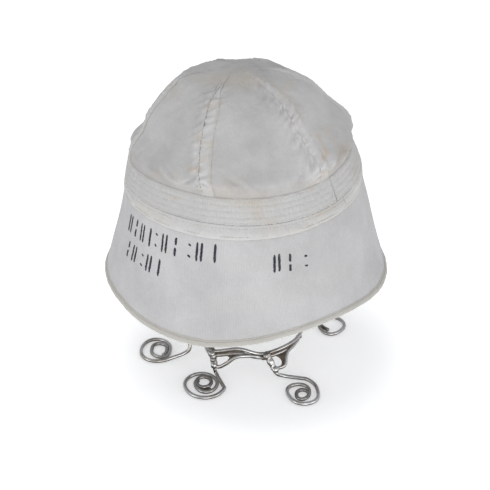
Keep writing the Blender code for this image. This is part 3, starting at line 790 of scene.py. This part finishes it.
# The stand, as in the part's source. Each foot: azimuth, the middle of its
# scroll, the direction its wire enters from, the scroll's reaches in
# millimetres at each sixth of a turn inwards, its knee (turn, reach, height),
# the bow that follows (upper in and up, lower in and up), its brace's sag or
# None, whether an upright stands on it, and how near its tail is to the knee.
WIRE_HALF = 0.0015
RING_RADIUS = 0.048
RING_HEIGHT = 0.0200
STRAND_DROP = 0.0035
TOP_RING_RADIUS = 0.032
TOP_RING_HEIGHT = 0.2307
TOP_RING_SHIFT = Vector((-0.004, 0, 0))
WIDE = (17.0, 18.8, 16.4, 14.7, 12.2, 9.9, 10.3, 11.8, 8.0, 7.2, 8.0, 6.0, 5.0, 5.4, 5.8, 5.6)
LEFT = (15.5, 16.5, 15.2, 15.7, 10.9, 8.7, 11.2, 8.3, 6.6, 8.7, 7.4, 5.7, 8.0)
RIGHT = (19.4, 13.2, 13.1, 12.1, 10.3, 12.8, 11.0, 6.2, 5.7, 7.0, 4.5, 4.2, 5.0, 5.2)
TIGHT = (13.5, 15.8, 14.6, 10.8, 10.6, 7.8, 8.4)
FRONT_BOW = (0.002, 0.005, 0.0015, 0.0045)
RIGHT_BOW = (-0.0015, 0.0005, 0.0, -0.0010)
EVEN_BOW = (0.005, 0.0025, 0.0025, 0.0)
LEFT_BOW = (0.005, 0.0025, 0.006, 0.0015)
HIDDEN_KNEE = (5, 0.0515, 0.0095)
Foot = namedtuple("Foot", "azimuth x y entry reaches knee bow sag upright tail")
FEET = (
    Foot(-31, -0.0306, -0.0583, -22, WIDE, (4.5, 0.0515, 0.0075), FRONT_BOW, 0, 1, 0.84),
    Foot(21, 0.0452, -0.0720, 79, RIGHT, (5, 0.057, 0.007), RIGHT_BOW, 0.003, 0, 0.65),
    Foot(102, 0.0725, 0.0195, 150, TIGHT, (5, 0.0505, 0.008), EVEN_BOW, 0, 1, 0.65),
    Foot(158, 0.0330, 0.0705, 215, RIGHT, HIDDEN_KNEE, EVEN_BOW, 0, 0, 0.65),
    Foot(-142, -0.0440, 0.0610, 275, WIDE, HIDDEN_KNEE, EVEN_BOW, 0, 1, 0.65),
    Foot(-70, -0.0688, -0.0134, -65, LEFT, (6, 0.0485, 0.0095), LEFT_BOW, None, 0, 0.65),
)
# A brace after its knee: turn from its foot, how far outside and below the
# ring, and shares of its sag outwards and down and of the strand's bow up.
BRACE = (
    (9, 0.0040, 0.0105, 1, 0.5, 0),
    (16, 0.0035, 0.0082, 1, 1, 0.5),
    (24, 0.0015, 0.0046, 0, 0, 0.9),
    (36, 0.0005, 0.0034, 0, 0, 0.8),
    (50, 0, STRAND_DROP, 0, 0, 0),
)
BRACE_PIECES = 10
STRAND_PIECES = 12
# The hook that ends the right foot's scroll, from the scroll's middle.
HOOK = ((-0.0073, 0.0042, 0), (-0.0048, -0.0008, 0.0002), (-0.0016, -0.0046, 0.0004))
# A wire's domed ends: how far out and how wide, as shares of its radius.
DOME = ((0.95, 0.05), (0.75, 0.62), (0.45, 0.88))


def polar(azimuth, radius, height):
    return Vector((radius * sin(radians(azimuth)), -radius * cos(radians(azimuth)), height))


def extended(values):
    """The values, with one more past each end."""
    return [2 * values[0] - values[1], *values, 2 * values[-1] - values[-2]]


def smooth_path(controls, pieces, closed=False):
    """Points of a smooth curve through the controls, so many to a stretch."""
    count = len(controls)
    around = [controls[-1], *controls, *controls[:2]] if closed else extended(controls)
    path = []
    for i in range(count if closed else count - 1):
        path += [catmull_rom(*around[i : i + 4], part / pieces) for part in range(pieces)]
    return path if closed else [*path, controls[-1]]


def tube(path, radii, sides=14, closed=False):
    """Points and faces of a round wire along a path."""
    count = len(path)
    radii = np.broadcast_to(radii, count)
    up = Vector((0, 0, 1))
    points = []
    for i, point in enumerate(path):
        ahead = path[(i + 1) % count] if closed else path[min(i + 1, count - 1)]
        behind = path[i - 1] if closed or i else path[0]
        tangent = (ahead - behind).normalized()
        up = (up - tangent * up.dot(tangent)).normalized()
        side = tangent.cross(up)
        for turn in (2 * pi * k / sides for k in range(sides)):
            points.append(point + float(radii[i]) * (cos(turn) * side + sin(turn) * up))
    return loft((np.array(points) + ROOT_SHIFT).reshape(count, sides, 3), closed)


def wire(path, radius=WIRE_HALF, sides=14):
    """A round wire along a path, with a small dome on each end."""
    first, last = (path[0] - path[1]).normalized(), (path[-1] - path[-2]).normalized()
    start = [path[0] + first * radius * out for out, _ in DOME]
    end = [path[-1] + last * radius * out for out, _ in DOME[::-1]]
    narrow = [radius * share for _, share in DOME]
    return tube([*start, *path, *end], [*narrow, *[radius] * len(path), *narrow[::-1]], sides)


def strand_path(lower):
    """The upper or the lower strand of the base ring, bowed between the feet."""
    height = RING_HEIGHT - (STRAND_DROP if lower else 0)
    controls = []
    for foot, following in zip(FEET, FEET[1:] + FEET[:1]):
        inward, up = foot.bow[2:] if lower else foot.bow[:2]
        middle = foot.azimuth + (following.azimuth - foot.azimuth) % 360 / 2
        controls.append(polar(foot.azimuth, RING_RADIUS, height))
        controls.append(polar(middle, RING_RADIUS - inward, height + up))
    return smooth_path(controls, STRAND_PIECES, True)


UPPER_STRAND, LOWER_STRAND = strand_path(False), strand_path(True)


def on_ring(foot, lift=0.0):
    return polar(foot.azimuth, RING_RADIUS, RING_HEIGHT + lift)


def knee(foot, lift=0.0, inward=0.0):
    turn, reach, height = foot.knee
    return polar(foot.azimuth + turn, reach - inward, height + lift)


def scroll_reach(reaches, sixths):
    index = min(int(sixths), len(reaches) - 2)
    return 0.001 * catmull_rom(*extended(reaches)[index : index + 4], sixths - index)


def scroll_point(foot, sixths, reach, height):
    turn = radians(foot.entry - 60 * sixths)
    return Vector((foot.x + reach * cos(turn), foot.y + reach * sin(turn), height))


def leg_path(foot):
    """Scroll, tail, knee and the rise to the ring."""
    sixths = len(foot.reaches) - 1
    steps = sixths * 8
    path = []
    for i in range(steps + 1):
        inwards = sixths * (1 - i / steps)
        path.append(scroll_point(foot, inwards, scroll_reach(foot.reaches, inwards), WIRE_HALF))
    outward_way = (path[-1] - path[-5]).normalized()
    tail = (path[-1] + outward_way * 0.006).lerp(knee(foot), foot.tail)
    tail.z = WIRE_HALF + (0.0032 if foot.sag is None else 0.0010)
    return path[:-1] + smooth_path([path[-1], tail, knee(foot), on_ring(foot)], 12)


def upright_path(foot):
    return smooth_path([
        on_ring(foot),
        polar(foot.azimuth, RING_RADIUS - 0.003, 0.080),
        polar(foot.azimuth, TOP_RING_RADIUS + 0.009, TOP_RING_HEIGHT - 0.050),
        polar(foot.azimuth, TOP_RING_RADIUS, TOP_RING_HEIGHT) + TOP_RING_SHIFT,
    ], 16)


def brace_path(foot):
    sag, bow = foot.sag, foot.bow[3]
    controls = [knee(foot, 0.003, 0.0005)]
    for turn, out, drop, sag_out, sag_down, bow_up in BRACE:
        height = RING_HEIGHT - drop - sag_down * sag + bow_up * bow
        controls.append(polar(foot.azimuth + turn, RING_RADIUS + out + sag_out * sag, height))
    return smooth_path(controls, BRACE_PIECES)


def binding(foot):
    """A joint's binding, filled and rounded over with solder."""
    low, high = knee(foot, 0.0010, 0.0003), on_ring(foot, 0.0018)
    if foot.sag is None:
        low = low.lerp(high, 0.55)
    part = np.linspace(0, 1, 73)
    path = [low.lerp(high, i / (len(part) - 1)) for i in range(len(part))]
    lumps = 0.5 - 0.5 * np.cos(part * 2 * pi * 2.5 + foot.azimuth)
    ends = np.minimum(1, 0.25 + 5 * np.minimum(part, 1 - part)) ** 0.6
    return tube(path, (0.00215 + 0.00060 * lumps + 0.00045 * part) * ends, 18)


def solder(centre, radius, seed):
    """A small bead of solder where two wires meet."""
    down = np.linspace(0.06, pi - 0.06, 15)[:, None]
    turn = np.arange(20)[None] * 2 * pi / 20
    out = [np.sin(down) * np.cos(turn), np.sin(down) * np.sin(turn), np.cos(down) + 0 * turn]
    out = np.stack(out, -1)
    lumps = 1 + 0.10 * lattice_noise(out * 1.6 + seed, seed)
    return loft(np.array(centre) + out * radius * lumps[..., None] + ROOT_SHIFT)


def joint_beads(foot, seed):
    """Lumps of solder down the face of a bound joint."""
    low, high = knee(foot, 0.0020, 0.0003), on_ring(foot, -0.001)
    if foot.sag is None:
        return [solder(high, 0.0030, seed)]
    out = polar(foot.azimuth + 12, 0.0010, 0)
    beads = ((0.04, 0.0028), (0.45, 0.0024), (0.94, 0.0033))
    return [
        solder(low.lerp(high, part) + out, radius, seed + i)
        for i, (part, radius) in enumerate(beads)
    ]


def write_painted_light(made):
    """How bright each point of the wire is painted: a painted highlight where it faces up, painted
    shade on its flanks and underside, inside the scrolls and round the ring's joints.
    """
    normals, places = (mesh_values(made.data.vertices, n, width=3) for n in ("normal", "co"))
    x, y, z = (places.reshape(-1, 3) - ROOT_SHIFT).T
    # Painted highlight where the wire faces up, painted shade where it faces sideways and down.
    lightness = 1 - fade(normals[2::3], -0.10, 0.50)
    # Painted shade inside the scrolls near the floor and round the ring's joints.
    for foot in FEET:
        inside = fade(np.hypot(x - foot.x, y - foot.y), 0.004, 0.011)
        lightness = lightness * (1 - 0.55 * inside * (z < 0.004))
    for joint in map(on_ring, FEET):
        lightness = lightness * (1 - 0.45 * fade(np.hypot(x - joint.x, y - joint.y), 0.003, 0.007))
    write_colour(made, "painted_light", np.repeat(lightness, 4))


def scroll_web(foot, start, end):
    """The fill between two neighbouring turns of a scroll, from one sixth to another."""
    path = []
    for sixths in np.linspace(start, end, 20):
        reach = (scroll_reach(foot.reaches, sixths) + scroll_reach(foot.reaches, sixths + 6)) / 2
        path.append(scroll_point(foot, sixths, reach, WIRE_HALF - 0.0003))
    return wire(path, 0.0010, 10)


def web_sheet(first, second, hollow):
    """A thin fill between two wires. Its near edge is hollow by so many of their points."""
    places = np.arange(len(first))
    share = np.linspace(0, 1, 7)
    starts = hollow * (1 - (2 * share - 1) ** 2)
    where = starts + (places[-1] - starts) * np.linspace(0, 1, len(first))[:, None]
    near, far = (sampled(path, places, where) for path in (first, second))
    middle = near * (1 - share[:, None]) + far * share[:, None]
    half = np.array((0, 0, 0.0007))
    return loft(np.concatenate([middle + half, (middle - half)[:, ::-1]], 1) + ROOT_SHIFT)


def brace_web(number, start, end, hollow):
    """The fill between a brace and the ring's lower strand above it."""
    foot, following = FEET[number], FEET[number + 1]
    turns = (foot.knee[0], *(row[0] for row in BRACE))
    turns = np.interp(np.arange(start, end), np.arange(len(turns)) * BRACE_PIECES, turns)
    along = 2 * STRAND_PIECES * (number + turns / (following.azimuth - foot.azimuth))
    strand = sampled(np.array(LOWER_STRAND), np.arange(len(LOWER_STRAND)), along)
    return web_sheet(np.array(brace_path(foot))[start:end], strand, hollow)


def make_webs(look):
    """Dark brown sheets and rods of painted shade between the ring's strands, the braces and the
    scrolls' turns.
    """
    rows = [scroll_web(FEET[place], 6.6, 8.8) for place in (0, 4)]
    rows.append(scroll_web(FEET[5], 4.4, 6.0))
    for number in range(len(FEET)):
        start = 2 * STRAND_PIECES * number
        stretch = slice(start + 1, start + 15)
        sides = zip(UPPER_STRAND[stretch], LOWER_STRAND[stretch])
        rows.append(wire([upper.lerp(lower, 0.5) * 0.985 for upper, lower in sides], 0.0017, 10))
    rows += [brace_web(0, 17, 44, 6), brace_web(1, 13, 48, 6)]
    return merged("stand_webs", rows, look)


def make_stand(look):
    crest = [polar(5 * i, TOP_RING_RADIUS, TOP_RING_HEIGHT) + TOP_RING_SHIFT for i in range(72)]
    rows = [tube(path, WIRE_HALF, closed=True) for path in (UPPER_STRAND, LOWER_STRAND, crest)]
    for number, foot in enumerate(FEET):
        rows += [wire(leg_path(foot)), binding(foot), *joint_beads(foot, 300 + 10 * number)]
        if foot.sag is not None:
            brace = brace_path(foot)
            rows += [wire(brace), solder(brace[-1], 0.0022, 200 + number)]
        if foot.upright:
            upright = upright_path(foot)
            rows += [wire(upright), solder(upright[-1], 0.0022, 220 + number)]
            rows.append(solder(upright[0], 0.0026, 240 + number))
    middle = Vector((FEET[2].x, FEET[2].y, WIRE_HALF))
    hook = [middle + Vector(step) for step in HOOK]
    rows += [wire(smooth_path(hook, 8)), solder(hook[-1], 0.0017, 260)]
    made = merged("stand_wire", rows, look)
    write_painted_light(made)
    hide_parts("wire_stand")
    return made


class Look:
    """A material and its nodes. An input is a socket to link or a fixed value."""

    def __init__(self, name):
        self.material = bpy.data.materials.new(name)
        self.material.use_nodes = True
        self.place = self.add("ShaderNodeTexCoord").outputs["Object"]

    def feed(self, node, inputs):
        for key, value in inputs.items():
            if isinstance(value, bpy.types.NodeSocket):
                self.material.node_tree.links.new(value, node.inputs[key])
            else:
                colour = isinstance(value, tuple)
                node.inputs[key].default_value = (*value, 1.0) if colour else value

    def add(self, kind, inputs=None, **settings):
        node = self.material.node_tree.nodes.new(kind)
        for name, value in settings.items():
            setattr(node, name, value)
        self.feed(node, inputs or {})
        return node

    def noise(self, scale, detail, roughness=0.55, distortion=0.0, place=None):
        inputs = {"Vector": place or self.place, "Scale": scale, "Detail": detail}
        inputs |= {"Roughness": roughness, "Distortion": distortion}
        return self.add("ShaderNodeTexNoise", inputs).outputs["Fac"]

    def wave(self, place, period, direction, distortion):
        """Bands of that period in millimetres over the cloth's own map."""
        inputs = {"Vector": place, "Scale": 2 * pi / 20 / period, "Distortion": distortion}
        inputs |= {"Detail": 1.0, "Detail Scale": 0.6}
        node = self.add("ShaderNodeTexWave", inputs, wave_type="BANDS", bands_direction=direction)
        return node.outputs["Fac"]

    def ramp(self, source, *stops):
        """A colour ramp. Each stop is a place and a colour."""
        node = self.add("ShaderNodeValToRGB", {"Fac": source})
        elements = node.color_ramp.elements
        for _ in stops[2:]:
            elements.new(0.5)
        for element, (place, colour) in zip(elements, stops):
            element.position = place
            element.color = (*colour, 1.0)
        return node.outputs["Color"]

    def mix(self, amount, first, second, kind="MIX"):
        inputs = {0: amount, 6: first, 7: second}
        return self.add("ShaderNodeMix", inputs, data_type="RGBA", blend_type=kind).outputs[2]

    def times(self, first, second):
        inputs = {0: first, 1: second}
        return self.add("ShaderNodeMath", inputs, operation="MULTIPLY", use_clamp=True).outputs[0]

    def plus(self, first, second):
        return self.add("ShaderNodeMath", {0: first, 1: second}, operation="ADD").outputs[0]

    def bump(self, height, strength, distance, **under):
        inputs = {"Height": height, "Strength": strength, "Distance": distance, **under}
        return self.add("ShaderNodeBump", inputs).outputs["Normal"]

    def finish(self, inputs):
        self.feed(self.material.node_tree.nodes["Principled BSDF"], inputs)
        return self.material


def grey(value):
    return (value, value, value)


# Colours that age the cotton: bleached, yellow, brown and rusty. The brown also paints shade.
BLEACHED = (0.670, 0.668, 0.662)
AGEING_AND_SHADE = ((0.590, 0.530, 0.430), (0.350, 0.310, 0.265), (0.545, 0.400, 0.285))
# Periods of the warp and the weft in millimetres.
TWILL = (1.15, 0.62)
TAPE = (0.75, 0.55)
# The wire's colour on its flanks and underside: painted shade.
PAINTED_FLANK_SHADE = (0.095, 0.079, 0.064)
# Cottons: name, its pale and its dull colour, weave, how deep it crumples, and
# how light it stays between its threads.
COTTONS = (
    ("white_cotton_twill", (0.605, 0.602, 0.607), (0.520, 0.517, 0.520), TWILL, 0.00035, 0.84),
    # The crown's twill is a darker copy of the brim's: painted shade.
    ("shaded_cotton_twill", (0.570, 0.566, 0.568), (0.455, 0.450, 0.450), TWILL, 0.0006, 0.88),
    ("stitched_cotton", (0.556, 0.548, 0.540), (0.464, 0.454, 0.445), TWILL, 0.0006, 0.88),
    ("white_cotton_tape", (0.650, 0.647, 0.642), (0.588, 0.583, 0.572), TAPE, 0.0005, 0.88),
    ("cream_cotton_tape", (0.568, 0.555, 0.526), (0.508, 0.492, 0.456), TAPE, 0.0002, 0.88),
)
# Threads: name, and its light and its dark colour.
THREADS = (
    ("white_thread", (0.66, 0.655, 0.64), (0.55, 0.54, 0.52)),
    ("cream_thread", (0.60, 0.565, 0.49), (0.47, 0.43, 0.36)),
    ("grey_thread", (0.42, 0.39, 0.345), (0.32, 0.295, 0.255)),
    ("dark_thread", (0.25, 0.24, 0.225), (0.12, 0.118, 0.115)),
)


def cotton(name, pale, dull, weave, crumple, sunk):
    """Aged cotton: a woven relief, slubs, soft soiling, stains and painted shade."""
    look = Look(name)
    cloth = look.add("ShaderNodeUVMap", uv_map="weave").outputs["UV"]
    stains_and_shade = look.add("ShaderNodeAttribute", attribute_name="stains_and_shade").outputs
    base = look.ramp(look.noise(26, 5, 0.6), (0.30, dull), (0.62, pale))
    base = look.mix(look.times(stains_and_shade["Alpha"], 0.6), base, BLEACHED)
    uneven = look.ramp(look.noise(75, 4, 0.65, 0.4), (0.28, grey(0.35)), (0.72, grey(1.0)))
    amounts = look.add("ShaderNodeSeparateColor", {"Color": stains_and_shade["Color"]}).outputs
    for amount, colour in zip(amounts, AGEING_AND_SHADE):
        base = look.mix(look.times(amount, uneven), base, colour)
    lines = look.times(look.wave(cloth, weave[0], "X", 0.8), 0.45)
    picks = look.times(look.wave(cloth, weave[1], "Y", 1.2), 0.35)
    slubs = look.times(look.noise(0.5, 3, 0.7, place=cloth), 0.9)
    woven = look.plus(look.plus(lines, picks), slubs)
    shade = look.ramp(woven, (0.40, (sunk, sunk, sunk + 0.01)), (1.0, grey(1.0)))
    fine = look.bump(woven, 0.6, 0.00018)
    return look.finish({
        "Base Color": look.mix(1.0, base, shade, "MULTIPLY"),
        "Normal": look.bump(look.noise(230, 4, 0.62, 0.3), 1.0, crumple, Normal=fine),
        "Roughness": 0.92, "Specular IOR Level": 0.2,
        "Sheen Weight": 0.08, "Sheen Roughness": 0.5,
    })


def thread_material(name, light, dark):
    """Sewing thread, its tint uneven along each row."""
    look = Look(name)
    return look.finish({
        "Base Color": look.ramp(look.noise(120, 3), (0.3, dark), (0.7, light)),
        "Normal": look.bump(look.noise(4200, 1), 0.4, 0.00005),
        "Roughness": 0.75,
    })


def ink_material():
    """Old laundry ink: blue-black, and thin where the weave stood proud."""
    look = Look("laundry_ink")
    lightness = look.noise(900, 3, 0.7)
    full, thin, faint = (0.022, 0.024, 0.032), (0.060, 0.063, 0.075), (0.26, 0.26, 0.27)
    return look.finish({
        "Base Color": look.ramp(lightness, (0.35, full), (0.60, thin), (0.78, faint)),
        "Normal": look.bump(lightness, 0.5, 0.0001),
        "Roughness": 0.9, "Specular IOR Level": 0.2,
    })


def wire_material():
    """Drawn steel wire: a painted highlight where it faces up and painted shade on its flanks, and
    browned in patches.
    """
    look = Look("tarnished_wire")
    patches = look.noise(70, 3, 0.5)
    browned, dulled, bright = (0.44, 0.41, 0.37), (0.66, 0.645, 0.625), (0.82, 0.82, 0.83)
    tint = look.ramp(patches, (0.28, browned), (0.42, dulled), (0.60, bright))
    painted_light = look.add("ShaderNodeAttribute", attribute_name="painted_light").outputs["Fac"]
    return look.finish({
        # Painted highlight and shade: the flank colour where the wire faces down, its tint where it
        # faces up.
        "Base Color": look.mix(painted_light, PAINTED_FLANK_SHADE, tint),
        "Normal": look.bump(patches, 0.06, 0.0002),
        "Roughness": look.ramp(look.noise(300, 2, 0.5), (0.3, grey(0.30)), (0.75, grey(0.38))),
        "Metallic": 1.0,
    })


def gap_shade_material():
    """A dark brown, slightly metallic fill: painted shade in the gaps between wires."""
    look = Look("painted_gap_shade")
    patches = look.noise(260, 4, 0.6)
    deep_shade, browned = (0.075, 0.055, 0.038), (0.17, 0.14, 0.11)
    return look.finish({
        "Base Color": look.ramp(patches, (0.35, deep_shade), (0.65, browned)),
        "Normal": look.bump(patches, 0.5, 0.0002),
        "Roughness": 0.45, "Metallic": 0.3,
    })


def floor_material():
    look = Look("pale_floor")
    return look.finish({
        "Base Color": look.ramp(look.noise(9, 3), (0.3, grey(0.91)), (0.7, grey(0.93))),
        "Roughness": 0.9, "Specular IOR Level": 0.1,
        "Emission Color": (0.98, 0.99, 1.0), "Emission Strength": 0.50,
    })


def make_floor():
    side = np.linspace(-16, 16, 9)
    x, y = np.meshgrid(side, side)
    points = np.stack([x, y, 0 * x - 0.0004], -1)
    new_mesh("floor", points, [quads(numbered(9, 9))], floor_material())


# Lights: name, place, size in metres, power. All aim at the cap's middle.
LIGHTS = (
    ("front", (0.30, -1.5, 0.26), (0.8, 0.4), 5.7),
    ("left", (-1.3, -0.8, 0.35), (0.7, 0.7), 3.4),
    ("right", (1.3, -0.8, 0.40), (0.6, 0.6), 3.2),
    ("above", (-0.3, 0.3, 1.8), (1.4, 1.4), 11.8),
)
CAP_MIDDLE = Vector((0, 0, 0.13))
# The camera: its place, its tilt up from straight down, its lens and sensor.
CAMERA_PLACE = (-0.00112, -0.72291, 0.50580)
CAMERA_TILT = 60.21
LENS_MM, SENSOR_MM = 77.3, 36.0


def place_in_scene(name, data, place):
    made = bpy.data.objects.new(name, data)
    bpy.context.scene.collection.objects.link(made)
    made.location = place
    return made


def light_scene():
    """Broad soft light from low in front, and a bright even surround."""
    world = bpy.data.worlds.new("studio")
    world.use_nodes = True
    surround = world.node_tree.nodes["Background"].inputs
    surround["Color"].default_value = (0.97, 0.98, 1.0, 1.0)
    surround["Strength"].default_value = 0.36
    bpy.context.scene.world = world
    for name, place, size, power in LIGHTS:
        data = bpy.data.lights.new(name, "AREA")
        data.shape = "RECTANGLE"
        data.size, data.size_y = size
        data.energy = power
        aim = (CAP_MIDDLE - Vector(place)).to_track_quat("-Z", "Y")
        place_in_scene(name, data, place).rotation_euler = aim.to_euler()
    bpy.context.scene.view_settings.view_transform = "Standard"


def make_camera():
    data = bpy.data.cameras.new("camera")
    data.lens, data.sensor_width = LENS_MM, SENSOR_MM
    made = place_in_scene("camera", data, CAMERA_PLACE)
    made.rotation_euler = (radians(CAMERA_TILT), 0, 0)
    bpy.context.scene.camera = made


def main():
    make_camera()
    cottons = (cotton(*row) for row in COTTONS)
    white, shaded_twill, sewn_through, tape, hemming = cottons
    threads = (thread_material(*row) for row in THREADS)
    dressed = []
    for number, start in enumerate(GORE_SEAMS, 1):
        end = GORE_SEAMS[number % len(GORE_SEAMS)]
        gore = make_gore(number, start, start + (end - start) % 360, shaded_twill)
        dressed.append((gore, "white_cotton"))
    dressed += [
        (make_band(sewn_through), "white_cotton"),
        (make_brim(white), "white_cotton"),
        (make_strip(tape), "cream_cotton"),
        (make_hem(hemming), "cream_cotton"),
    ]
    thread_slots = ("white_cotton", "cream_cotton", "cream_cotton", "cream_cotton")
    dressed += zip(make_stitches(*threads), thread_slots)
    dressed += [
        (make_ink(ink_material()), "white_cotton"),
        (make_stand(wire_material()), "polished_wire"),
        (make_webs(gap_shade_material()), "polished_wire"),
    ]
    for piece, slot in dressed:
        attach(piece, "root")
    make_floor()
    light_scene()


main()
